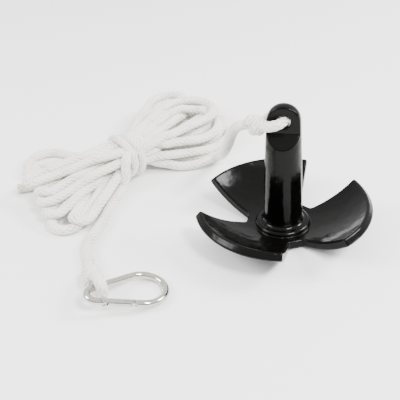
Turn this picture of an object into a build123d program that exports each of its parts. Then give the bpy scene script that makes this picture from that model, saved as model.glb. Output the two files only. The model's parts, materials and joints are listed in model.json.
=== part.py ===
"""River anchor with its rope and snap hook, in millimetres.

A three-fluke cast iron anchor is dipped in black vinyl. Its white braided rope is knotted through the
eye, wound into a hank that a second length of rope ties at the waist, and knotted to a snap hook.
Origin: the centre of the anchor's foot, on the ground. +Z runs up the shank and the eye's hole runs
along Y. The rope, the hank and the snap hook lie on the ground beside the anchor.
"""

import os
from math import asin, cos, degrees, hypot, pi, radians, sin, tan

from build123d import *

os.makedirs("parts", exist_ok=True)

# ------------------------------------------------------------ driving dimensions, mm and degrees
# Anchor
FOOT_R = 13.4  # flat disc that the anchor stands on
PLATE = 7.8  # thickness of the fluke plate, vinyl included
BOWL_R = 86.5  # radius of the flukes' hollow upper face
RIM_ANGLE = 43.2  # how far round the bowl's arc the flukes reach
NOTCH_ANGLES = (56.3, 176.3, 296.3)  # directions of the gaps between the flukes
NOTCH_ROOT = 31.7  # distance of a gap's root from the axis
NOTCH_ROOT_HALF = 6.6
NOTCH_SLOPE = 28.4  # each side of a gap against its centre line
NOTCH_CORNER = 3.0
HUB_R = 24.0  # raised round hub under the shank
HUB_H = 4.8
HUB_FILLET = 4.0
HUB_ROUND = 3.0
HUB_FOOT_ROUND = 1.0
SHANK_BASE_R = 16.7
SHANK_TOP_R = 14.2
SHANK_FLARE = 2.7  # slope of the shank's side just under its round top
EYE_Z = 110.3
EYE_R = 5.7
TAB_HALF = 4.8  # half the thickness of the flat eye tab
TAB_FOOT_Z = 100.2  # where the tab's flat meets the sloped scoop
SCOOP_ANGLE = 45.0  # slope of the scoop against the vertical
VINYL = 0.8  # thickness of the dipped coat
BARE_FOOT_R = 11.5  # the casting is bare where it stood to dry
EDGE_ROUND = 2.0
RIM_ROUND = 2.2
TAB_ROUND = 1.5
GAP_ROUND = 1.5

# Rope: 8 mm braid. A cord's route is a list of points, each run joined to the next by an arc.
ROPE_R = 4.0
BEND = 0.45  # share of the shorter run that an arc takes up
EYE_KNOT = (-22.9, 0.0, 104.6)
EYE_KNOT_R = 8.2
EYE_LOOP = [
    (-22.9, -0.5, 104.5),
    (-15.3, -9.4, 105.3),
    (0.6, -9.7, 109.3),
    (0.8, 9.7, 109.9),
    (-15.3, 9.4, 106.6),
    (-22.9, 0.5, 104.7),
]
EYE_LEAD = [
    (-22.9, 0.0, 104.6),
    (-36.3, 2.1, 103.4),
    (-45.7, 20.5, 87.2),
    (-54.6, 51.0, 55.5),
    (-64.5, 83.0, 27.0),
    (-72.0, 104.5, 8.6),
    (-84.5, 113.0, 4.3),
    (-98.0, 109.0, 4.3),
]
HOOK_LEAD = [
    (-158.2, 42.0, 6.3),
    (-162.9, 14.7, 4.5),
    (-162.9, -16.8, 4.3),
    (-168.2, -46.2, 4.3),
    (-158.2, -69.4, 4.3),
    (-152.4, -84.1, 5.9),
    (-147.1, -94.1, 7.4),
]
HOOK_KNOT = (-146.7, -94.8, 8.2)
HOOK_KNOT_R = 8.0

# Hank: two fans of loops that meet at a tied waist. An outline point is (direction, reach).
WAIST = (-162.4, 83.0)
WAIST_DIRECTION = 48.5
WAIST_WIDTH = 44.0
WAIST_BOTTOM = 8.8
WAIST_TOP = 33.0
WAIST_HALF = 10.5  # half the length of the waist under the tie
LOBE_HEIGHT = 27.0
LOBE_ROUND = 7.0
NEAR_FAN = [(178, 30), (186, 88), (196, 104), (211, 92), (232, 106), (254, 126), (268, 96), (282, 30)]
FAR_FAN = [(350, 30), (3, 62), (20, 90), (42, 114), (62, 128), (84, 144), (96, 134), (108, 84), (124, 34)]
TIE_TURNS = 2
TIE_PITCH = 8.8
TIE_TAIL = [(-226.0, 50.5, 4.4), (-243.8, 42.6, 4.4), (-254.4, 36.5, 4.3), (-262.6, 33.2, 4.3)]

# Snap hook
WIRE_R = 2.9
NARROW_R = 8.9  # centre line of the narrow end
WIDE_R = 18.8  # centre line of the wide end
END_SPACING = 36.9  # between the centres of the two ends
HOOK_RAISE = 11.2  # the narrow end lies on the rope, the wide end on the ground
HOOK_DIRECTION = 29.3
HOOK_XY = (-135.0, -118.7)
# Places along the gate, from where the narrow end's arc stops
HINGE_AT = 5.2
BORE_END_AT = 20.2
NOSE_SLOT_AT = 26.4
NOSE_TONGUE_AT = 27.2
LATCH_AT = 28.8
GATE_END_AT = 31.0
NOSE_AT = 31.4
TONGUE_HALF = 1.15  # half the thickness of the two flat tongues
SLOT_HALF = 1.3  # half the width of the slots that they sit in
HINGE_TONGUE_HEIGHT = 2.2
NOSE_TONGUE_HEIGHT = 1.7
HINGE_TONGUE_REACH = 2.4  # the square end that works the plunger, from the rivet's axis
FORK_REACH = 3.7  # bottom of the gate's fork, from the rivet's axis
SHOULDER_R = 3.1
GATE_HEEL_R = 2.75
RIVET_R = 1.0
LATCH_R = 0.9
RUNNING_GAP = 0.05
PLUNGER_R = 1.2
LOOP_AT = 6.0  # where the rope crosses the spine
LOOP_SECTION = [(5.5, 20.4), (-7.8, 19.8), (-8.2, 4.2), (6.0, 4.1)]  # out from the wire, height
PLUNGER_LENGTH = 3.4
SPRING_WIRE_R = 0.22
SPRING_R = 0.95
SPRING_PITCH = 0.95
SPRING_LENGTH = 7.4


def save(part, name):
    part.label = name
    export_step(part, f"parts/{name}.step")


# ------------------------------------------------------------ anchor
def anchor_form(inset):
    """The anchor's outer form, or the same form a given depth further in."""
    reach = RIM_ANGLE - degrees(inset / BOWL_R)
    hollow_r = BOWL_R + inset
    under_r = BOWL_R + PLATE - inset
    bowl_centre = (FOOT_R, PLATE + BOWL_R)
    hub_r = HUB_R - inset
    hub_top = PLATE + HUB_H - inset
    base_r = SHANK_BASE_R - inset
    top_r = SHANK_TOP_R - inset
    top_z = EYE_Z + top_r
    flare = radians(SHANK_FLARE)

    def rim(radius):
        return (FOOT_R + radius * sin(radians(reach)), bowl_centre[1] - radius * cos(radians(reach)))

    with BuildPart() as form:
        with BuildSketch(Plane.XZ) as section:
            with BuildLine():
                Line((0, inset), (FOOT_R, inset))
                CenterArc(bowl_centre, under_r, -90, reach)
                Line(rim(under_r), rim(hollow_r))
                CenterArc(bowl_centre, hollow_r, -90, reach)
                Polyline((FOOT_R, PLATE - inset), (0, PLATE - inset), (0, inset))
            make_face()
            with BuildLine():
                Polyline((0, PLATE / 2), (hub_r, PLATE / 2), (hub_r, hub_top), (base_r, hub_top))
                dome_start = (top_r * cos(flare), EYE_Z + top_r * sin(flare))
                TangentArc(dome_start, (base_r, hub_top), tangent=(sin(flare), -cos(flare)))
                CenterArc((0, EYE_Z), top_r, SHANK_FLARE, 90 - SHANK_FLARE)
                Line((0, top_z), (0, PLATE / 2))
            make_face()
            for place, radius in (
                (rim(under_r), EDGE_ROUND - inset),
                (rim(hollow_r), RIM_ROUND - inset),
                ((hub_r, hub_top), HUB_ROUND - inset),
                ((base_r, hub_top), HUB_FILLET + inset),
                ((hub_r, PLATE), HUB_FOOT_ROUND),
            ):
                fillet(section.vertices().sort_by_distance(place)[0], radius)
        revolve(axis=Axis.Z)

        # The gaps between the three flukes
        with BuildSketch() as gaps:
            past_rim = 2 * HUB_R + NOTCH_ROOT
            half_past_rim = NOTCH_ROOT_HALF + (past_rim - NOTCH_ROOT) * tan(radians(NOTCH_SLOPE))
            for direction in NOTCH_ANGLES:
                with Locations(Rotation(0, 0, direction)):
                    Polygon(
                        (NOTCH_ROOT, -NOTCH_ROOT_HALF),
                        (past_rim, -half_past_rim),
                        (past_rim, half_past_rim),
                        (NOTCH_ROOT, NOTCH_ROOT_HALF),
                        align=None,
                    )
            fillet(gaps.vertices().filter_by(lambda v: hypot(v.X, v.Y) < NOTCH_ROOT + 2), NOTCH_CORNER)
            if inset:
                offset(amount=inset)
        extrude(amount=TAB_FOOT_Z / 2, mode=Mode.SUBTRACT)

        # The sloped scoops that leave a flat tab at the top of the shank
        tab_half = TAB_HALF - inset
        tab_foot = TAB_FOOT_Z - inset * tan(radians(SCOOP_ANGLE / 2))
        past_tab = tab_half + 2 * SHANK_TOP_R
        slope_end = tab_foot - (past_tab - tab_half) / tan(radians(SCOOP_ANGLE))
        with BuildSketch(Plane.YZ):
            for side in (1, -1):
                Polygon(
                    (side * tab_half, tab_foot),
                    (side * tab_half, 2 * top_z),
                    (side * past_tab, 2 * top_z),
                    (side * past_tab, slope_end),
                    align=None,
                )
        extrude(amount=2 * SHANK_BASE_R, both=True, mode=Mode.SUBTRACT)

        # The eye's hole
        with BuildSketch(Plane.XZ):
            with Locations((0, EYE_Z)):
                Circle(EYE_R + inset)
        extrude(amount=2 * SHANK_BASE_R, both=True, mode=Mode.SUBTRACT)
    return form.part


def is_gap_wall(face):
    middle = face.center()
    upright = abs(face.normal_at(middle).Z) < 0.02
    return upright and middle.Z < TAB_FOOT_Z / 2 and hypot(middle.X, middle.Y) > NOTCH_ROOT - 2


def is_upright_line(edge):
    return edge.geom_type == GeomType.LINE and abs(edge.tangent_at(0.5).Z) > 0.98


def is_tab_face(face):
    middle = face.center()
    return abs(abs(face.normal_at(middle).Y) - 1) < 0.01 and middle.Z > TAB_FOOT_Z


def is_scoop_edge(edge):
    middle = edge.center()
    shank_radius = hypot(edge.position_at(0.5).X, edge.position_at(0.5).Y)
    below_tab = TAB_FOOT_Z - 2 * SHANK_TOP_R < middle.Z < TAB_FOOT_Z - 2
    return below_tab and abs(middle.X) < 1 and shank_radius > TAB_HALF + 1


print("anchor")
with BuildPart() as iron_casting:
    add(anchor_form(VINYL))
    with BuildSketch():
        Circle(BARE_FOOT_R)
    extrude(amount=PLATE / 2)
save(iron_casting.part, "iron_casting")

with BuildPart() as vinyl_coat:
    add(anchor_form(0.0))
    gap_walls = vinyl_coat.faces().filter_by(is_gap_wall)
    fillet(gap_walls.edges().filter_by(is_upright_line, reverse=True), GAP_ROUND)
    tab_faces = vinyl_coat.faces().filter_by(is_tab_face)
    scoop_edges = vinyl_coat.edges().filter_by(is_scoop_edge)
    fillet(tab_faces.edges() + scoop_edges, TAB_ROUND)
    add(iron_casting.part, mode=Mode.SUBTRACT)
save(vinyl_coat.part, "vinyl_coat")


# ------------------------------------------------------------ rope
def rope_path(points):
    """Straight runs joined by arcs that take up the same share of each corner's shorter run."""
    corners = [Vector(*point) for point in points]
    radii = []
    for before, corner, after in zip(corners, corners[1:], corners[2:]):
        turn = radians((corner - before).get_angle(after - corner))
        shorter = min((corner - before).length, (after - corner).length)
        radii.append(BEND * shorter / tan(turn / 2))
    return radii, FilletPolyline(*points, radius=radii)


def rope(name, points, cut_by=()):
    """A tube of rope along a route, cut back to the pieces that it runs into."""
    with BuildPart() as tube:
        with BuildLine():
            radii, path = rope_path(points)
        with BuildSketch(path ^ 0):
            Circle(ROPE_R)
        sweep()
        section_volume = pi * ROPE_R**2 * path.length
        print(name, "length", round(path.length, 1), "volume", round(tube.part.volume / section_volume, 3))
        print("    radii", [round(radius, 1) for radius in radii])
        for piece in cut_by:
            add(piece, mode=Mode.SUBTRACT)
    return tube.part


with BuildPart() as rope_eye_knot:
    with Locations(EYE_KNOT):
        Sphere(EYE_KNOT_R)
save(rope_eye_knot.part, "rope_eye_knot")

with BuildPart() as rope_hook_knot:
    with Locations(HOOK_KNOT):
        Sphere(HOOK_KNOT_R)
save(rope_hook_knot.part, "rope_hook_knot")


def fan(outline):
    """One fan of the hank's loops, flat on the ground with a rounded top."""
    with BuildPart() as lobe:
        with BuildSketch(Plane(origin=(*WAIST, 0))):
            with BuildLine():
                rim = [(reach * cos(radians(a)), reach * sin(radians(a))) for a, reach in outline]
                loops = Spline(*rim)
                Line(loops @ 1, loops @ 0)
            make_face()
        extrude(amount=LOBE_HEIGHT)
        fillet(lobe.faces().sort_by(Axis.Z)[-1].edges(), LOBE_ROUND)
    return lobe.part


across = Plane(origin=(*WAIST, 0)).rotated((0, 0, WAIST_DIRECTION))
with BuildPart() as rope_hank:
    add(fan(NEAR_FAN))
    add(fan(FAR_FAN))
    with BuildSketch(across):
        Rectangle(2 * WAIST_HALF, 3 * WAIST_WIDTH)
    extrude(amount=LOBE_HEIGHT * 2, mode=Mode.SUBTRACT)
    with BuildSketch(across.offset(WAIST_BOTTOM)):
        Rectangle(4 * WAIST_HALF, WAIST_WIDTH)
    extrude(amount=WAIST_TOP - WAIST_BOTTOM)
save(rope_hank.part, "rope_hank")

# The tie winds round the waist, its tail sticks out past the near fan
tie_low = ROPE_R + 0.3
tie_high = WAIST_TOP + ROPE_R + 0.2
tie_side = WAIST_WIDTH / 2 + ROPE_R + 0.2
tie_corners = [(-tie_side, tie_low), (-tie_side, tie_high), (tie_side, tie_high), (tie_side, tie_low)]
tie_start = -TIE_TURNS * TIE_PITCH / 2
tie_route = []
for corner in range(4 * TIE_TURNS):
    side, height = tie_corners[corner % 4]
    along = tie_start + TIE_PITCH * corner / 4
    tie_route.append(tuple(across.from_local_coords((along, side, height))))
tie_wraps = rope("tie_wraps", tie_route, [rope_hank.part])
save(tie_wraps, "tie_wraps")
tie_tail = rope("tie_tail", TIE_TAIL, [rope_hank.part])
save(tie_tail, "tie_tail")

rope_eye_loop = rope("rope_eye_loop", EYE_LOOP, [rope_eye_knot.part])
save(rope_eye_loop, "rope_eye_loop")
rope_eye_lead = rope("rope_eye_lead", EYE_LEAD, [rope_eye_knot.part, rope_hank.part])
save(rope_eye_lead, "rope_eye_lead")
rope_hook_lead = rope("rope_hook_lead", HOOK_LEAD, [rope_hook_knot.part, rope_hank.part])
save(rope_hook_lead, "rope_hook_lead")

# ------------------------------------------------------------ snap hook
hook_length = NARROW_R + END_SPACING + WIDE_R
hook_tilt = asin(HOOK_RAISE / hook_length)
heading = radians(HOOK_DIRECTION)
narrow_z = WIRE_R + (END_SPACING + WIDE_R) * sin(hook_tilt)
hook_plane = Plane(
    origin=(*HOOK_XY, narrow_z),
    x_dir=(cos(heading) * cos(hook_tilt), sin(heading) * cos(hook_tilt), -sin(hook_tilt)),
    z_dir=(cos(heading) * sin(hook_tilt), sin(heading) * sin(hook_tilt), cos(hook_tilt)),
)
splay = asin((WIDE_R - NARROW_R) / END_SPACING)
gate_along = Vector(cos(splay), -sin(splay))
gate_out = Vector(-sin(splay), -cos(splay))
spine_along = Vector(cos(splay), sin(splay))
spine_out = Vector(-sin(splay), cos(splay))
wide_centre = Vector(END_SPACING, 0)
gate_start = gate_out * NARROW_R
gate_stop = wide_centre + gate_out * WIDE_R
spine_start = spine_out * NARROW_R
spine_stop = wide_centre + spine_out * WIDE_R


def on_gate(distance, outward=0.0):
    """A place along the gate's centre line, in the hook's own plane."""
    return gate_start + gate_along * distance + gate_out * outward


def in_space(point):
    """A place in the hook's own plane, as a place in the whole model."""
    return hook_plane.from_local_coords(point)


gate_origin = in_space(on_gate(HINGE_AT))
gate_x = in_space(on_gate(HINGE_AT + 1)) - gate_origin
gate_plane = Plane(origin=gate_origin, x_dir=gate_x, z_dir=hook_plane.z_dir)


def gate_at(distance, height=0.0):
    """The gate's plane, its origin moved along the gate and up."""
    return Plane(
        origin=gate_plane.from_local_coords((distance - HINGE_AT, 0, height)),
        x_dir=gate_plane.x_dir,
        z_dir=gate_plane.z_dir,
    )


def rod_plane(distance):
    """A plane square to the gate's length, facing the nose."""
    return Plane(origin=gate_at(distance).origin, x_dir=gate_plane.z_dir, z_dir=gate_plane.x_dir)


with BuildPart() as hook_body:
    with BuildLine():
        hinge_end = Line(in_space(on_gate(HINGE_AT + HINGE_TONGUE_REACH)), in_space(gate_start))
        ThreePointArc(in_space(gate_start), in_space((-NARROW_R, 0)), in_space(spine_start))
        Line(in_space(spine_start), in_space(spine_stop))
        ThreePointArc(in_space(spine_stop), in_space((END_SPACING + WIDE_R, 0)), in_space(gate_stop))
        Line(in_space(gate_stop), in_space(on_gate(NOSE_TONGUE_AT)))
    with BuildSketch(hinge_end ^ 0):
        Circle(WIRE_R)
    sweep()
    # Flatten the two ends of the wire into tongues, above and below
    nose_reach = NOSE_AT - HINGE_AT
    for face in (1, -1):
        with BuildSketch(gate_at(HINGE_AT, face * TONGUE_HALF)):
            Circle(SHOULDER_R)
            with Locations((HINGE_TONGUE_REACH / 2 + 2, 0)):
                Rectangle(HINGE_TONGUE_REACH + 4, 2 * SHOULDER_R)
            with Locations((nose_reach - SHOULDER_R, 0)):
                Rectangle(2 * SHOULDER_R, 3 * WIRE_R)
        extrude(amount=face * 2 * WIRE_R, mode=Mode.SUBTRACT)
        with BuildSketch(gate_at(HINGE_AT, -2 * WIRE_R)):
            with Locations((HINGE_TONGUE_REACH, face * (HINGE_TONGUE_HEIGHT + WIRE_R))):
                Rectangle(2 * HINGE_TONGUE_REACH, 2 * WIRE_R)
            with Locations((nose_reach - SHOULDER_R, face * (NOSE_TONGUE_HEIGHT + WIRE_R))):
                Rectangle(2 * SHOULDER_R, 2 * WIRE_R)
        extrude(amount=4 * WIRE_R, mode=Mode.SUBTRACT)
    with BuildSketch(gate_at(HINGE_AT, -2 * WIRE_R)):
        Circle(RIVET_R)
        with Locations((LATCH_AT - HINGE_AT, 0)):
            Circle(LATCH_R)
    extrude(amount=4 * WIRE_R, mode=Mode.SUBTRACT)
save(hook_body.part, "hook_body")

with BuildPart() as gate:
    with BuildSketch(rod_plane(HINGE_AT - GATE_HEEL_R)):
        Circle(WIRE_R)
    extrude(amount=GATE_END_AT - HINGE_AT + GATE_HEEL_R)
    # Round the heel about the rivet
    with BuildSketch(gate_at(HINGE_AT, -2 * WIRE_R)):
        with Locations((-GATE_HEEL_R, 0)):
            Rectangle(2 * GATE_HEEL_R, 4 * GATE_HEEL_R)
        Circle(GATE_HEEL_R, mode=Mode.SUBTRACT)
    extrude(amount=4 * WIRE_R, mode=Mode.SUBTRACT)
    # The fork over the hinge tongue and the slot over the nose tongue
    with BuildSketch(gate_at(HINGE_AT, -SLOT_HALF)):
        with Locations((FORK_REACH - 2 * GATE_HEEL_R, 0)):
            Rectangle(4 * GATE_HEEL_R, 4 * WIRE_R)
        with Locations((NOSE_SLOT_AT - HINGE_AT + WIRE_R, 0)):
            Rectangle(2 * WIRE_R, 4 * WIRE_R)
    extrude(amount=2 * SLOT_HALF, mode=Mode.SUBTRACT)
    # The hooked notch that drops over the latch pin
    with BuildSketch(gate_at(HINGE_AT, -2 * WIRE_R)):
        notch_r = LATCH_R + 0.25
        with Locations((LATCH_AT - HINGE_AT, 0)):
            Circle(notch_r)
        with Locations((LATCH_AT - HINGE_AT - 0.15, -WIRE_R)):
            Rectangle(2 * notch_r + 0.3, 2 * WIRE_R)
        Circle(RIVET_R + RUNNING_GAP)
    extrude(amount=4 * WIRE_R, mode=Mode.SUBTRACT)
    with BuildSketch(rod_plane(HINGE_AT + FORK_REACH - 0.5)):
        Circle(PLUNGER_R + RUNNING_GAP)
    extrude(amount=BORE_END_AT - HINGE_AT - FORK_REACH + 0.5, mode=Mode.SUBTRACT)
save(gate.part, "gate")

with BuildPart() as gate_rivet:
    with BuildSketch(gate_at(HINGE_AT, -WIRE_R)):
        Circle(RIVET_R)
    extrude(amount=2 * WIRE_R)
    for face in (1, -1):
        with BuildSketch(gate_at(HINGE_AT, face * (WIRE_R + RUNNING_GAP))):
            Circle(1.7 * RIVET_R)
        extrude(amount=face * 0.5)
        with BuildSketch(gate_at(HINGE_AT, face * WIRE_R)):
            Circle(RIVET_R)
        extrude(amount=face * 2 * RUNNING_GAP)
save(gate_rivet.part, "gate_rivet")

with BuildPart() as latch_pin:
    with BuildSketch(gate_at(LATCH_AT, -WIRE_R * 0.8)):
        Circle(LATCH_R)
    extrude(amount=1.6 * WIRE_R)
save(latch_pin.part, "latch_pin")

plunger_at = HINGE_AT + HINGE_TONGUE_REACH + 0.05
with BuildPart() as spring_plunger:
    with BuildSketch(rod_plane(plunger_at)):
        Circle(PLUNGER_R)
    extrude(amount=PLUNGER_LENGTH)
    plunger_rims = spring_plunger.edges().filter_by(GeomType.CIRCLE)
    fillet(plunger_rims.sort_by(Axis(gate_origin, gate_x))[0], PLUNGER_R / 2)
save(spring_plunger.part, "spring_plunger")

spring_start = plunger_at + PLUNGER_LENGTH + SPRING_WIRE_R + RUNNING_GAP
with BuildPart() as gate_spring:
    with BuildLine():
        coil = Helix(SPRING_PITCH, SPRING_LENGTH, SPRING_R, gate_at(spring_start).origin, gate_x)
    with BuildSketch(coil ^ 0):
        Circle(SPRING_WIRE_R)
    sweep(is_frenet=True)
save(gate_spring.part, "gate_spring")

# The rope's loop round the hook's spine, square to the wire
crossing = in_space(spine_start + spine_along * LOOP_AT)
knot = Vector(*HOOK_KNOT)
away = Vector(knot.X - crossing.X, knot.Y - crossing.Y)
back = away.normalized()
loop_route = [tuple(knot + Vector(0, 0, 0.5))]
for out, up in LOOP_SECTION:
    loop_route.append((crossing.X + back.X * out, crossing.Y + back.Y * out, up))
loop_route.append(tuple(knot - Vector(0, 0, 0.5)))
rope_hook_loop = rope("rope_hook_loop", loop_route, [rope_hook_knot.part])
save(rope_hook_loop, "rope_hook_loop")

# Joint frames, for the record
spine_axis = in_space(spine_start + spine_along) - in_space(spine_start)
print("crossing", crossing, "spine axis", spine_axis, "away", away.length)
print("hinge", gate_origin, "hinge axis", hook_plane.z_dir, "gate axis", gate_x)
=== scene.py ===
import json
from math import asin, ceil, cos, pi, radians, sin

import bpy
import numpy as np
from mathutils import Matrix, Vector


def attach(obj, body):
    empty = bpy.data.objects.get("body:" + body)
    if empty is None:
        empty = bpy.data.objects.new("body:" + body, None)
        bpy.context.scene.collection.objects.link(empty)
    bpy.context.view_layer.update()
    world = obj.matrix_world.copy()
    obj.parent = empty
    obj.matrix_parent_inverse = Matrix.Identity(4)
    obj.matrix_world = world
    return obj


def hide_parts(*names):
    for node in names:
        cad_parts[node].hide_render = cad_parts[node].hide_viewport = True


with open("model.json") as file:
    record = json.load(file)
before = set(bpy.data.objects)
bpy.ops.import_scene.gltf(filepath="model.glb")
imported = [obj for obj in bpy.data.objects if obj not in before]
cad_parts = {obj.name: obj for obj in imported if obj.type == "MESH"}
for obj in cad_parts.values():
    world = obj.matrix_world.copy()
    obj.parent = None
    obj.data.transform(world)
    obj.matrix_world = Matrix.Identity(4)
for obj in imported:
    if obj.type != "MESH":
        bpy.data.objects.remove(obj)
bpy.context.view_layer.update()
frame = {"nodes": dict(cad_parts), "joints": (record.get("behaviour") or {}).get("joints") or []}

MM = 0.001
joints = {joint["name"]: joint for joint in frame["joints"]}


def mm(points):
    """A list of points in millimetres, as an array in metres."""
    return np.array(points, float) * MM


def unit(vector):
    """The vector's direction, as an array of length 1."""
    vector = np.array(vector, float)
    return vector / np.linalg.norm(vector)


def add_object(name, data):
    """A new object in the scene that shows the data."""
    piece = bpy.data.objects.new(name, data)
    bpy.context.scene.collection.objects.link(piece)
    return piece


# ---------------------------------------------------------------- camera
CAMERA_TARGET = Vector((-0.07358, 0.0, 0.02656))
CAMERA_DISTANCE = 0.6941
CAMERA_AZIMUTH = 12.24  # degrees, as are the next two
CAMERA_ELEVATION = 34.09
CAMERA_ROLL = -3.55
CAMERA_LENS = 70.3  # millimetres, for a sensor 36 mm wide


def make_camera():
    azimuth, elevation, roll = map(radians, (CAMERA_AZIMUTH, CAMERA_ELEVATION, CAMERA_ROLL))
    back = Vector((sin(azimuth) * cos(elevation), -cos(azimuth) * cos(elevation), sin(elevation)))
    right = Vector((cos(azimuth), sin(azimuth), 0))
    up = back.cross(right)
    level_right = right * cos(roll) + up * sin(roll)
    level_up = up * cos(roll) - right * sin(roll)
    data = bpy.data.cameras.new("camera")
    data.lens = CAMERA_LENS
    data.sensor_width = 36
    camera = add_object("camera", data)
    turn = Matrix((level_right, level_up, back)).transposed()
    camera.matrix_world = Matrix.Translation(CAMERA_TARGET + back * CAMERA_DISTANCE) @ turn.to_4x4()
    bpy.context.scene.camera = camera


make_camera()

# ---------------------------------------------------------------- rope: routes, in metres
ROPE_D = 0.008
ROPE_R = ROPE_D / 2
FULL_R = 0.0043  # the loose braid stands a little outside the rope's stated size
TIE_R = 0.0036  # where the tie is pulled tight round the hank
EYE_LOOP = mm([(-15.3, -9.4, 107.0), (0.5, -10.2, 112.2), (1.6, 9.7, 110.5), (-15.3, 9.4, 106.6)])
EYE_LEAD = mm([
    (-22.9, 0.0, 104.6),
    (-36.3, 2.1, 103.4),
    (-45.7, 20.5, 87.2),
    (-54.6, 51.0, 55.5),
    (-64.5, 83.0, 27.0),
    (-72.0, 104.5, 8.6),
    (-84.5, 113.0, 4.3),
    (-98.0, 109.0, 4.3),
])
HOOK_LEAD = mm([
    (-158.2, 42.0, 6.3),
    (-162.9, 14.7, 4.5),
    (-162.9, -16.8, 4.3),
    (-168.2, -46.2, 4.3),
    (-158.2, -69.4, 4.3),
    (-152.4, -84.1, 5.9),
    (-146.7, -94.8, 8.2),
])
# The loop round the hook's wire, as (distance back from the wire, height) corners.
HOOK_LOOP_SECTION = mm([(5.5, 20.4), (-7.8, 19.8), (-8.2, 4.2), (6.0, 4.1)])
TIE_BITE = 0.0005  # how far the tie is pulled in
TIE_PITCH = 0.0088
TIE_TAIL = mm([(-226.0, 50.5, 4.4), (-243.8, 42.6, 4.4), (-254.4, 36.5, 4.3), (-262.6, 33.2, 4.3)])

# The hank: each turn of the rope goes round a near loop and then round a far loop.
# A loop is (direction in degrees, reach, width) from the waist, in millimetres.
NEAR_LOOPS = [
    (181, 108, 40),
    (188, 100, 22),
    (259, 105, 17),
    (251, 119, 26),
    (243, 110, 16),
    (235, 103, 15),
    (227, 99, 15),
    (217, 102, 15),
]
FAR_LOOPS = [
    (49, 112, 88),
    (53, 122, 84),
    (59, 127, 78),
    (65, 131, 70),
    (71, 133, 58),
    (79, 133, 44),
    (51, 112, 64),
    (60, 119, 56),
]
WAIST = np.array([-162.4, 83.0]) * MM
WAIST_DIRECTION = radians(48.5)
WAIST_WIDTH = 0.042
WAIST_BOTTOM = 0.0088
WAIST_TOP = 0.033
WAIST_HALF = 0.0105  # half of the waist's length, under the tie
WAIST_ENTRY = 0.016  # turns run straight from this far before the middle to this far past it
SLOT_ROW = 3  # slots in a row
SLOT_FIRST = 0.0036  # from the waist's middle line to the first slot
SLOT_PITCH = 0.0068
SLOT_RISE = 0.0075
SPACING = 0.005  # between the hank's points while it settles
HANK_STEPS = 420
SINKING_SHARE = 0.8  # of those steps
SINK = 0.0003  # in each of them
NEAR_RISE = 0.0015  # each turn starts this much higher than the last
FAR_RISE = 0.0026
LOOSE_GAP = 1.03 * ROPE_D  # between neighbouring turns
SQUEEZED_GAP = 0.93 * ROPE_D  # in and near the waist
SQUEEZED_HALF = 0.02
WAIST_FLARE = 2.2  # how fast the funnels at the waist open sideways, and next in height
WAIST_LIFT = 1.2
waist_along = np.array([cos(WAIST_DIRECTION), sin(WAIST_DIRECTION)])
waist_across = np.array([-sin(WAIST_DIRECTION), cos(WAIST_DIRECTION)])


def resample(points, spacing):
    """Points at an even spacing along a polyline."""
    points = np.array(points, float)
    steps = np.linalg.norm(np.diff(points, axis=0), axis=1)
    along = np.concatenate([[0], np.cumsum(steps)])
    places = np.linspace(0, along[-1], int(round(along[-1] / spacing)) + 1)
    return np.stack([np.interp(places, along, points[:, i]) for i in range(3)], axis=1)


def waist_point(along, slot, heading):
    """A place in the waist, whose slots lie in rows of three on each side of its middle line."""
    row, column = divmod(slot, SLOT_ROW)
    across = heading * (SLOT_FIRST + SLOT_PITCH * column)
    height = WAIST_BOTTOM + ROPE_R + SLOT_RISE * row
    return np.append(WAIST + waist_along * along + waist_across * across, height)


def loop_end(direction, reach, width, height, points=14):
    """The round end of a loop, from its side of larger direction to its other side."""
    half = width / 2
    axis = np.array([cos(direction), sin(direction)])
    middle = WAIST + axis * (reach - half)
    open_angle = pi / 2 + asin(min(0.9, half / (reach - half)))
    bend = np.linspace(open_angle, -open_angle, points)
    ways = [np.array([cos(direction + turn), sin(direction + turn)]) for turn in bend]
    return [np.append(middle + half * way, height) for way in ways]


def waist_pass(slot, heading):
    """A straight pass through the waist: back to the near loops at heading -1, out to the far ones at 1."""
    return [waist_point(heading * along, slot, heading) for along in (-WAIST_ENTRY, 0.0, WAIST_ENTRY)]


def hank_start():
    """The turns before they settle: each a level higher than the last."""
    route = [EYE_LEAD[-1]]
    for turn, turn_loops in enumerate(zip(NEAR_LOOPS, FAR_LOOPS)):
        for loop, heading, rise in zip(turn_loops, (-1, 1), (NEAR_RISE, FAR_RISE)):
            direction, reach, width = loop
            route += waist_pass(turn, heading)
            route += loop_end(radians(direction), reach * MM, width * MM, ROPE_R + rise * turn)
    route += waist_pass(len(NEAR_LOOPS), -1)
    route.append(HOOK_LEAD[0])
    return resample(route, SPACING)


def smooth_shift(shift, reach, share):
    """Shares each point's shift with the points a few places before and after it."""
    middle = (shift[: -2 * reach] + shift[2 * reach :]) / 2
    shift[reach:-reach] += share * (middle - shift[reach:-reach])


def keep_spacing(points, free):
    """Moves neighbours towards their even spacing, in two interleaved sets of pairs."""
    for first in (0, 1):
        pairs = (len(points) - first) // 2
        left = slice(first, first + 2 * pairs, 2)
        right = slice(first + 1, first + 1 + 2 * pairs, 2)
        gap = points[right] - points[left]
        length = np.linalg.norm(gap, axis=1, keepdims=True)
        push = 0.5 * (length - SPACING) / length * gap
        points[left] += push * free[left]
        points[right] -= push * free[right]


def near_pairs(points):
    """Pairs of points on different stretches of the rope that are close enough to meet soon."""
    apart = points[:, None, :] - points[None, :, :]
    near = (apart**2).sum(2) < (1.7 * ROPE_D) ** 2
    left, right = np.nonzero(np.triu(near, 4))
    return left, right


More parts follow.
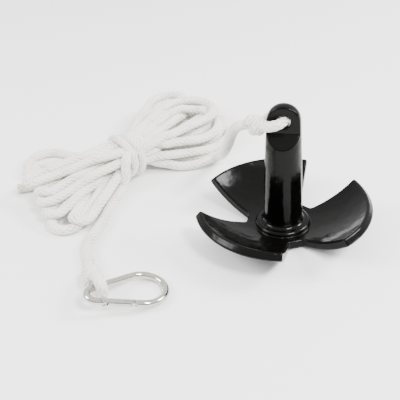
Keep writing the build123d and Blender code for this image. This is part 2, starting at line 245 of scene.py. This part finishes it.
def push_apart(points, pairs, free):
    """Keeps stretches of the rope a diameter apart, a little less where the tie squeezes them."""
    left, right = pairs
    gap = points[right] - points[left]
    length = np.linalg.norm(gap, axis=1) + 1e-9
    in_waist = np.abs((points[left, :2] - WAIST) @ waist_along) < SQUEEZED_HALF
    wanted = np.where(in_waist, SQUEEZED_GAP, LOOSE_GAP)
    push = gap * (0.45 * np.clip(wanted - length, 0, None) / length)[:, None]
    np.add.at(points, right, push * free[right])
    np.add.at(points, left, -push * free[left])


def hold_waist(points, free):
    """Keeps the turns inside the tie, in a funnel that opens on both sides of it."""
    along = (points[:, :2] - WAIST) @ waist_along
    across = (points[:, :2] - WAIST) @ waist_across
    beyond = np.clip(np.abs(along) - WAIST_HALF, 0, None)
    held = np.abs(along) < 3 * WAIST_HALF
    width = WAIST_WIDTH / 2 - ROPE_R + WAIST_FLARE * beyond
    squeeze = np.where(held, np.clip(across, -width, width) - across, 0)
    points[:, :2] += squeeze[:, None] * waist_across * free
    low = WAIST_BOTTOM + ROPE_R - WAIST_LIFT * beyond
    high = WAIST_TOP - ROPE_R + WAIST_LIFT * beyond
    points[:, 2] = np.where(held, np.clip(points[:, 2], low, high), points[:, 2])


def settle(home, steps):
    """Lets the hank's turns sink onto the ground and onto each other, pinched at the waist."""
    points = home.copy()
    free = np.ones((len(points), 1))
    free[:2] = free[-2:] = 0
    for step in range(steps):
        if step < SINKING_SHARE * steps:
            points[:, 2] -= SINK * free[:, 0]
        shift = points - home
        shift[:, :2] *= 0.985
        smooth_shift(shift, 1, 0.5)
        smooth_shift(shift, 3, 0.35)
        smooth_shift(shift, 7, 0.2)
        points = home + shift
        keep_spacing(points, free)
        if step % 8 == 0:
            pairs = near_pairs(points)
        push_apart(points, pairs, free)
        hold_waist(points, free)
        points[:, 2] = np.maximum(points[:, 2], FULL_R)
        points[0], points[-1] = home[0], home[-1]
    return points


def knot_turns(centre, axis, turns, half_length, phase):
    """The rope's turns round its own standing part, inside a knot."""
    axis = unit(axis)
    side = unit(np.cross(axis, (0, 0, 1)))
    over = np.cross(axis, side)
    points = []
    for share in np.linspace(0, 1, ceil(turns * 12)):
        angle = phase + 2 * pi * turns * share
        lift = side * cos(angle) + over * sin(angle)
        points.append(centre + axis * half_length * (1 - 2 * share) + KNOT_TURN_R * lift)
    return points


KNOT_TURN_R = 0.0054  # of the line that the turns follow
EYE_KNOT_TURNS = 2.2
EYE_KNOT_HALF = 0.0046  # half of the knot's length
EYE_KNOT_PHASE = radians(200)
HOOK_KNOT_TURNS = 2.3
HOOK_KNOT_HALF = 0.0058
HOOK_KNOT_PHASE = radians(250)
EYE = mm((0, 0, 110.3))
eye_knot = EYE_LEAD[0]
eye_knot_axis = unit(EYE_LEAD[1] - EYE_LEAD[0])
hook_knot = HOOK_LEAD[-1]
crossing = np.array(joints["hook_swing"]["pos_m"])
hook_knot_axis = unit(HOOK_LEAD[-2] - HOOK_LEAD[-1])


def hook_loop():
    """The rope's loop round the hook's spine, square to the wire."""
    back = hook_knot - crossing
    back[2] = 0
    back = unit(back)
    return [np.append((crossing + back * out)[:2], height) for out, height in HOOK_LOOP_SECTION]


def main_route():
    """Every point of the main rope, from its bare end at the anchor to its bare end at the snap hook."""
    hank = settle(hank_start(), HANK_STEPS)
    route = knot_turns(eye_knot, eye_knot_axis, EYE_KNOT_TURNS, EYE_KNOT_HALF, EYE_KNOT_PHASE)
    route += list(EYE_LOOP)
    route += list(EYE_LEAD[:-1])
    route += list(hank)
    route += list(HOOK_LEAD[1:])
    route += hook_loop()
    route += knot_turns(hook_knot, -hook_knot_axis, HOOK_KNOT_TURNS, HOOK_KNOT_HALF, HOOK_KNOT_PHASE)
    return np.array(route)


def tie_route():
    """Two turns round the waist, then through the near fan to the tie's bare end."""
    low = TIE_R + TIE_BITE
    high = WAIST_TOP + TIE_R - TIE_BITE
    side = WAIST_WIDTH / 2 + TIE_R - TIE_BITE
    corners = [(-side, low), (-side, high), (side, high), (side, low)]
    points = []
    for corner in range(8):
        across, height = corners[corner % 4]
        along = TIE_PITCH * (corner / 4 - 1)
        points.append(np.append(WAIST + waist_along * along + waist_across * across, height))
    return np.array(points[::-1] + list(TIE_TAIL))


# ---------------------------------------------------------------- rope: mesh
BRAID_STRANDS = 6  # each way round
BRAID_LAY = 0.0052
BRAID_DEPTH = 0.0008
ROPE_FLATNESS = 0.08  # this share wider than round, and the same share lower
TUBE_SIDES = 24
TUBE_STEP = 0.00125
TIP_LENGTH = 0.0006  # of the low cones that close the tube's ends
SQUEEZE_REACH = 0.006  # a squeeze is full this far out, and gone at twice as far
TIE_FULL_FROM = 0.035  # from the waist, where the tie's tail begins to fill out
TIE_FULL_OVER = 0.015


def nurbs_line(name, points, spacing):
    """Points at an even spacing along the smooth line that a route's control points give."""
    data = bpy.data.curves.new(name, "CURVE")
    data.dimensions = "3D"
    data.resolution_u = 6
    spline = data.splines.new("NURBS")
    spline.points.add(len(points) - 1)
    spline.points.foreach_set("co", np.hstack([points, np.ones((len(points), 1))]).ravel())
    spline.order_u = 3
    spline.use_endpoint_u = True
    curve = add_object(name, data)
    mesh = bpy.data.meshes.new_from_object(curve)
    line = np.empty(len(mesh.vertices) * 3)
    mesh.vertices.foreach_get("co", line)
    bpy.data.objects.remove(curve)
    bpy.data.meshes.remove(mesh)
    return resample(line.reshape(-1, 3), spacing)


def frames_along(line):
    """A side vector and an upper vector at each point, turned as little as possible."""
    tangents = np.gradient(line, axis=0)
    tangents /= np.linalg.norm(tangents, axis=1, keepdims=True)
    side = unit(np.cross(tangents[0], (0.1, 0.2, 1)))
    sides = np.empty_like(line)
    for i, tangent in enumerate(tangents):
        side = unit(side - tangent * (side @ tangent))
        sides[i] = side
    return tangents, sides, np.cross(tangents, sides)


def braid(around, along):
    """Height from 0 to 1 of a plain braid's strands."""
    left = around * BRAID_STRANDS + along / BRAID_LAY
    right = around * BRAID_STRANDS - along / BRAID_LAY
    over = (np.floor(left) + np.floor(right)) % 2 == 0
    left_round = np.sin(pi * (left % 1))
    right_round = np.sin(pi * (right % 1))
    left_height = left_round**0.6 * (0.55 + 0.45 * right_round)
    right_height = right_round**0.6 * (0.55 + 0.45 * left_round)
    return np.where(over, left_height, right_height)


def tube_faces(rings):
    """Quads between the rings, then triangles to the two tips, whose vertices follow the rings'."""
    first = np.arange(rings - 1)[:, None] * TUBE_SIDES
    here = np.arange(TUBE_SIDES)[None, :]
    there = (here + 1) % TUBE_SIDES
    quads = np.stack([first + here, first + there, first + TUBE_SIDES + there, first + TUBE_SIDES + here], 2)
    faces = quads.reshape(-1, 4).tolist()
    start_tip = rings * TUBE_SIDES
    last = start_tip - TUBE_SIDES
    for i in range(TUBE_SIDES):
        j = (i + 1) % TUBE_SIDES
        faces.append((start_tip, j, i))
        faces.append((start_tip + 1, last + i, last + j))
    return faces


def add_rope_uv(mesh, around, along):
    """A UV map round and along the rope, in girths, that doesn't run backwards where it meets itself."""
    vertex_at = np.empty(len(mesh.loops), int)
    mesh.loops.foreach_get("vertex_index", vertex_at)
    vertex_at = np.minimum(vertex_at, len(along) * TUBE_SIDES - 1)  # the tips take the last vertex's place
    u = np.tile(around, len(along))[vertex_at]
    v = np.repeat(along, TUBE_SIDES)[vertex_at] / (2 * pi * ROPE_R)
    face_start = np.empty(len(mesh.polygons), int)
    mesh.polygons.foreach_get("loop_start", face_start)
    quad_start = face_start[: (len(along) - 1) * TUBE_SIDES]
    for offset in range(4):
        corner = quad_start + offset
        wraps = (u[corner] == 0) & (u[quad_start] > 0.5)
        u[corner] = np.where(wraps, 1.0, u[corner])
    mesh.uv_layers.new(name="rope").data.foreach_set("uv", np.stack([u, v], 1).ravel())


def rope_mesh(name, line, material, radius_at):
    """A braided tube along a line, closed at its ends."""
    tangents, sides, uppers = frames_along(line)
    along = np.arange(len(line)) * np.linalg.norm(line[1] - line[0])
    around = np.arange(TUBE_SIDES) / TUBE_SIDES
    height = braid(around[None, :], along[:, None])
    angle = 2 * pi * around
    level = np.cross(tangents, (0, 0, 1))
    lean = np.arctan2((level * uppers).sum(1), (level * sides).sum(1))
    flat = 1 + ROPE_FLATNESS * np.cos(2 * (angle[None, :] - lean[:, None]))
    radius = radius_at(line)[:, None] * flat + BRAID_DEPTH * (height - 0.4)
    sideways = sides[:, None, :] * np.cos(angle)[None, :, None]
    upwards = uppers[:, None, :] * np.sin(angle)[None, :, None]
    points = line[:, None, :] + (sideways + upwards) * radius[:, :, None]
    tips = line[0] - tangents[0] * TIP_LENGTH, line[-1] + tangents[-1] * TIP_LENGTH
    mesh = bpy.data.meshes.new(name)
    mesh.from_pydata(np.vstack([points.reshape(-1, 3), *tips]).tolist(), [], tube_faces(len(line)))
    # the braid's height, which the rope's material also turns into painted shade between the strands
    crevice = mesh.attributes.new("crevice", "FLOAT", "POINT")
    crevice.data.foreach_set("value", np.append(height.ravel(), [0.5, 0.5]).astype(np.float32))
    add_rope_uv(mesh, around, along)
    mesh.shade_smooth()
    mesh.materials.append(material)
    return add_object(name, mesh)


def main_radius(line):
    """The soft braid is a little full, and squeezed in its knots and in the eye."""
    radius = np.full(len(line), FULL_R)
    for centre, squeeze in ((eye_knot, 0.15), (hook_knot, 0.15), (EYE, 0.17)):
        away = np.linalg.norm(line - centre, axis=1)
        near = np.clip(1 - (away - SQUEEZE_REACH) / SQUEEZE_REACH, 0, 1)
        radius *= 1 - squeeze * near
    return radius


def tie_radius(line):
    """The tie is pulled thin round the waist, and full at its free tail."""
    away = np.linalg.norm(line[:, :2] - WAIST, axis=1)
    return TIE_R + (FULL_R - TIE_R) * np.clip((away - TIE_FULL_FROM) / TIE_FULL_OVER, 0, 1)


# ---------------------------------------------------------------- materials
NOISE_LOW, NOISE_HIGH = 0.3, 0.7  # most of a noise texture's values lie between these


def new_material(name, colour, roughness, metallic=0.0):
    material = bpy.data.materials.new(name)
    material.use_nodes = True
    shader = material.node_tree.nodes["Principled BSDF"]
    shader.inputs["Base Color"].default_value = (*colour, 1)
    shader.inputs["Roughness"].default_value = roughness
    shader.inputs["Metallic"].default_value = metallic
    return material


def noise(material, size, stretch=(1, 1, 1), detail=3.0):
    """Noise with features of about the given size in metres, fixed to the piece."""
    nodes, links = material.node_tree.nodes, material.node_tree.links
    place = nodes.new("ShaderNodeTexCoord")
    mapping = nodes.new("ShaderNodeMapping")
    mapping.inputs["Scale"].default_value = stretch
    texture = nodes.new("ShaderNodeTexNoise")
    texture.inputs["Scale"].default_value = 1 / size
    texture.inputs["Detail"].default_value = detail
    links.new(place.outputs["Object"], mapping.inputs["Vector"])
    links.new(mapping.outputs["Vector"], texture.inputs["Vector"])
    return texture.outputs["Fac"]


def ramp(material, source, low, high, start=NOISE_LOW, end=NOISE_HIGH):
    """Colours from low to high as the source goes from start to end."""
    node = material.node_tree.nodes.new("ShaderNodeValToRGB")
    first, last = node.color_ramp.elements
    first.position, last.position = start, end
    first.color = (*low, 1)
    last.color = (*high, 1)
    material.node_tree.links.new(source, node.inputs["Fac"])
    return node.outputs["Color"]


def map_range(tree, source, old, new):
    """A source's values, moved from one (low, high) range to another."""
    node = tree.nodes.new("ShaderNodeMapRange")
    for name, value in zip(("From Min", "From Max", "To Min", "To Max"), (*old, *new)):
        node.inputs[name].default_value = value
    tree.links.new(source, node.inputs["Value"])
    return node.outputs["Result"]


def vary(material, socket, source, low, high):
    """One of the shader's values follows a noise source, from low to high."""
    result = map_range(material.node_tree, source, (NOISE_LOW, NOISE_HIGH), (low, high))
    material.node_tree.links.new(result, material.node_tree.nodes["Principled BSDF"].inputs[socket])


def colour_from(material, source):
    """The shader's colour follows a source."""
    material.node_tree.links.new(source, material.node_tree.nodes["Principled BSDF"].inputs["Base Color"])


def bump(material, *layers):
    """Bump from (source, height in metres) layers, one on top of the other."""
    nodes, links = material.node_tree.nodes, material.node_tree.links
    below = None
    for source, height in layers:
        node = nodes.new("ShaderNodeBump")
        node.inputs["Distance"].default_value = height
        links.new(source, node.inputs["Height"])
        if below is not None:
            links.new(below, node.inputs["Normal"])
        below = node.outputs["Normal"]
    links.new(below, nodes["Principled BSDF"].inputs["Normal"])


def rope_material():
    """White polypropylene braid: painted shade darkens it between its strands, with fine fibres along them.
    """
    material = new_material("white_braid", (0.84, 0.82, 0.78), 0.55)
    nodes, links = material.node_tree.nodes, material.node_tree.links
    crevice = nodes.new("ShaderNodeAttribute")
    crevice.attribute_name = "crevice"
    # painted shade: the strand colour goes dark where the braid is low, standing in for the shade that falls
    # in the crevices
    painted_crevice_shade = ramp(material, crevice.outputs["Fac"], (0.40, 0.375, 0.33), (0.87, 0.845, 0.79), 0.05, 0.62)
    soil = ramp(material, noise(material, 0.03), (0.93, 0.92, 0.90), (1.0, 1.0, 1.0))
    mix = nodes.new("ShaderNodeMix")
    mix.data_type = "RGBA"
    mix.blend_type = "MULTIPLY"
    mix.inputs["Factor"].default_value = 1.0
    links.new(painted_crevice_shade, mix.inputs["A"])
    links.new(soil, mix.inputs["B"])
    colour_from(material, mix.outputs["Result"])
    uv = nodes.new("ShaderNodeUVMap")
    uv.uv_map = "rope"
    fibres = nodes.new("ShaderNodeTexNoise")
    fibres.inputs["Scale"].default_value = 60.0
    fibres.inputs["Detail"].default_value = 4.0
    links.new(uv.outputs["UV"], fibres.inputs["Vector"])
    bump(material, (fibres.outputs["Fac"], 0.00035), (crevice.outputs["Fac"], 0.0006))
    nodes["Principled BSDF"].inputs["Sheen Weight"].default_value = 0.15
    return material


def vinyl_material():
    """Black dipped vinyl: deep gloss with an orange-peel surface and a few duller patches."""
    material = new_material("black_vinyl", (0.0016, 0.0016, 0.0016), 0.14)
    patches = noise(material, 0.035, detail=5.0)
    colour_from(material, ramp(material, patches, (0.0006, 0.0006, 0.0006), (0.0016, 0.0015, 0.0011)))
    vary(material, "Roughness", noise(material, 0.012, detail=4.0), 0.11, 0.21)
    bump(material, (noise(material, 0.009, detail=1.0), 0.00035), (noise(material, 0.0022), 0.00003))
    material.node_tree.nodes["Principled BSDF"].inputs["Specular IOR Level"].default_value = 0.11
    return material


def iron_material():
    """Bare cast iron with the grain of its sand mould and some rust."""
    material = new_material("cast_iron", (0.12, 0.11, 0.10), 0.65, 0.7)
    rust = noise(material, 0.006, detail=6.0)
    colour_from(material, ramp(material, rust, (0.13, 0.06, 0.03), (0.17, 0.16, 0.155)))
    vary(material, "Roughness", noise(material, 0.003), 0.5, 0.8)
    bump(material, (noise(material, 0.0012, detail=6.0), 0.0003))
    return material


def plated_material(name, colour, rough_low, rough_high, scratch):
    """Bright plated steel wire, with a faint ripple and fine scratches along it."""
    material = new_material(name, colour, rough_low, 1.0)
    dull = tuple(0.82 * channel for channel in colour)
    colour_from(material, ramp(material, noise(material, 0.004, detail=4.0), dull, colour))
    vary(material, "Roughness", noise(material, 0.002, detail=5.0), rough_low, rough_high)
    bump(material, (noise(material, 0.003, detail=2.0), 0.00006), (noise(material, 0.0006), scratch))
    return material


def dress(material, *names):
    """Gives CAD nodes a material."""
    for name in names:
        for slot in frame["nodes"][name].material_slots:
            slot.material = material


dress(vinyl_material(), "vinyl_coat")
dress(iron_material(), "iron_casting")
bright_plate = plated_material("bright_plate", (0.56, 0.55, 0.50), 0.07, 0.14, 0.00001)
rivet_steel = plated_material("rivet_steel", (0.62, 0.61, 0.59), 0.22, 0.34, 0.00002)
spring_steel = plated_material("spring_steel", (0.45, 0.45, 0.46), 0.25, 0.38, 0.00002)
dress(bright_plate, "hook_body", "gate")
dress(rivet_steel, "gate_rivet", "latch_pin")
dress(spring_steel, "gate_spring", "spring_plunger")

# ---------------------------------------------------------------- rope: pieces
MAIN_NODES = (
    "rope_eye_loop", "rope_eye_knot", "rope_eye_lead", "rope_hank",
    "rope_hook_lead", "rope_hook_knot", "rope_hook_loop",
)
TIE_NODES = ("tie_wraps", "tie_tail")

white_braid = rope_material()
main_line = nurbs_line("main_route", main_route(), TUBE_STEP)
main_rope = rope_mesh("main_rope", main_line, white_braid, main_radius)
tie_line = nurbs_line("tie_route", tie_route(), TUBE_STEP)
tie_rope = rope_mesh("tie_rope", tie_line, white_braid, tie_radius)

for piece, nodes in ((main_rope, MAIN_NODES), (tie_rope, TIE_NODES)):
    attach(piece, "root")
    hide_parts(*nodes)


# ---------------------------------------------------------------- floor and light
FLOOR_SIZE = 40  # so that no edge of it is in view
FLOOR_COLOUR = (0.93, 0.93, 0.93)
ANCHOR_MIDDLE = (0, 0, 0.03)


def make_floor():
    bpy.ops.mesh.primitive_plane_add(size=FLOOR_SIZE, location=(0, 0, 0))
    floor = bpy.context.object
    floor.name = "floor"
    floor.data.materials.append(new_material("floor", FLOOR_COLOUR, 0.6))


def area_light(name, place, target, size, power):
    data = bpy.data.lights.new(name, "AREA")
    data.shape = "RECTANGLE"
    data.size, data.size_y = size
    data.energy = power
    light = add_object(name, data)
    light.location = place
    light.rotation_euler = (Vector(target) - Vector(place)).to_track_quat("-Z", "Y").to_euler()


make_floor()
area_light("front_right", (0.73, -0.62, 1.28), ANCHOR_MIDDLE, (0.35, 0.35), 34)
area_light("back_right", (1.15, 0.48, 1.0), ANCHOR_MIDDLE, (0.5, 0.5), 36)
area_light("left", (-1.25, -0.3, 1.0), (-0.05, 0, 0.03), (0.6, 0.6), 26)


def make_world():
    """White all round, and dimmer low down in front, so that the bright steel has something dark to show."""
    world = bpy.data.worlds.new("studio")
    world.use_nodes = True
    nodes, links = world.node_tree.nodes, world.node_tree.links
    direction = nodes.new("ShaderNodeTexCoord")
    slope = nodes.new("ShaderNodeVectorMath")
    slope.operation = "DOT_PRODUCT"
    slope.inputs[1].default_value = (0, 0.6, 1.6)
    level = map_range(world.node_tree, slope.outputs["Value"], (-0.3, 0.7), (0.45, 1.85))
    background = nodes["Background"]
    background.inputs["Color"].default_value = (1, 1, 1, 1)
    links.new(direction.outputs["Generated"], slope.inputs[0])
    links.new(level, background.inputs["Strength"])
    bpy.context.scene.world = world


make_world()
